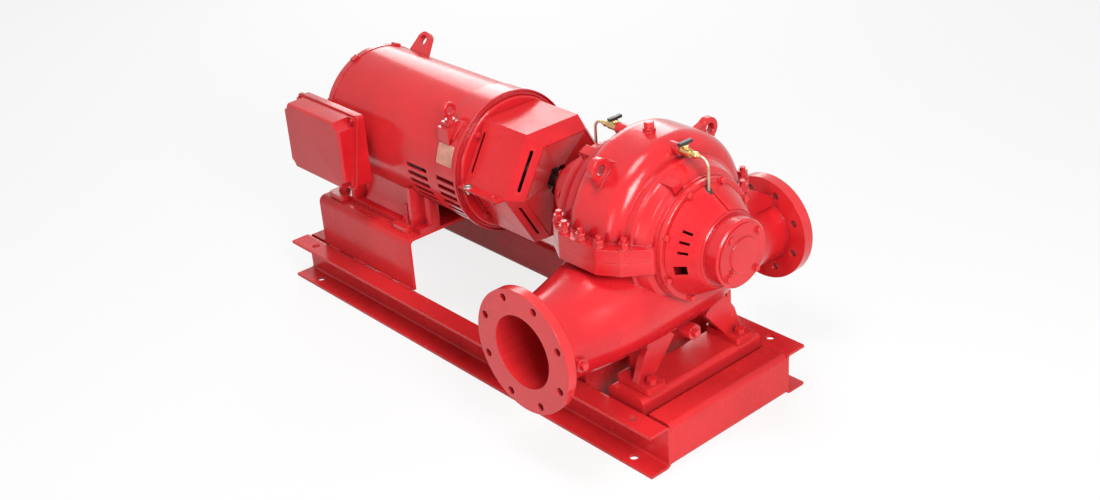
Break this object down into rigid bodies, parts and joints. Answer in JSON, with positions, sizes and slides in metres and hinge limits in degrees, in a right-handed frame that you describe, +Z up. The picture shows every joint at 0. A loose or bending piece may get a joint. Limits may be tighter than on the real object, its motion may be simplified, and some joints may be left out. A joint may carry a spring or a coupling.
{
  "type": "electric motor driven horizontal split-case fire pump on a channel base",
  "caption": "Horizontal split-case fire pump with side nozzles, driven by an open electric motor through a guarded coupling, on a welded channel base.",
  "frame": {"origin": "on the floor at the middle of the base's anchor hole pattern", "axes": "+X along the shaft from motor to pump, -Y towards the suction side, +Z up"},
  "size_m": [1.705, 0.95, 0.822],
  "materials": {
    "red_paint": "glossy enamel on rolled steel",
    "red_shell": "smooth glossy enamel",
    "red_cast": "glossy enamel on rough casting",
    "dark_core": "varnished laminations",
    "bare_steel": "turned",
    "black_rubber": "matt",
    "brass": "machined",
    "copper_tube": "drawn tube",
    "black_handle": "satin"
  },
  "bodies": {
    "set": {"base_channel_near": "red_paint", "base_channel_far": "red_paint", "base_end_pump": "red_paint", "base_end_motor": "red_paint", "pedestal_outboard": "red_paint", "pedestal_inboard": "red_paint", "motor_riser": "red_paint", "motor_shell": "red_shell", "stator_core": "dark_core", "motor_bell_drive": "red_cast", "motor_bell_rear": "red_cast", "motor_foot_near": "red_cast", "motor_foot_far": "red_cast", "motor_foot_bolts": "red_paint", "conduit_box": "red_paint", "conduit_cover": "red_paint", "motor_eyebolt": "red_cast", "motor_lifting_lug": "red_cast", "guard_upper": "red_paint", "guard_lower": "red_paint", "lower_casing": "red_cast", "upper_casing": "red_cast", "parting_nuts": "red_cast", "casing_plugs": "red_cast", "pump_foot_bolts": "red_paint", "bracket_outboard": "red_cast", "gland_guards_outboard": "red_paint", "bearing_cover_outboard": "red_cast", "gland_outboard": "red_cast", "valve_outboard": "brass", "flush_tube_outboard": "copper_tube", "bracket_inboard": "red_cast", "gland_guards_inboard": "red_paint", "bearing_cover_inboard": "red_cast", "gland_inboard": "red_cast", "valve_inboard": "brass", "flush_tube_inboard": "copper_tube"},
    "rotor": {"motor_shaft": "bare_steel", "hub_motor": "bare_steel", "coupling_element": "black_rubber", "hub_pump": "bare_steel", "pump_shaft": "bare_steel"},
    "handle_outboard": {"valve_handle_outboard": "black_handle"},
    "handle_inboard": {"valve_handle_inboard": "black_handle"}
  },
  "joints": [
    {"name": "rotor_spin", "type": "hinge", "parent": "set", "child": "rotor", "pos_m": [0, 0, 0.548], "axis": [1, 0, 0], "continuous": true},
    {"name": "handle_outboard_turn", "type": "hinge", "parent": "set", "child": "handle_outboard", "pos_m": [0.681, 0, 0.794], "axis": [0, 0, 1], "range_deg": [0, 90]},
    {"name": "handle_inboard_turn", "type": "hinge", "parent": "set", "child": "handle_inboard", "pos_m": [0.429, 0, 0.794], "axis": [0, 0, 1], "range_deg": [0, 90]}
  ]
}
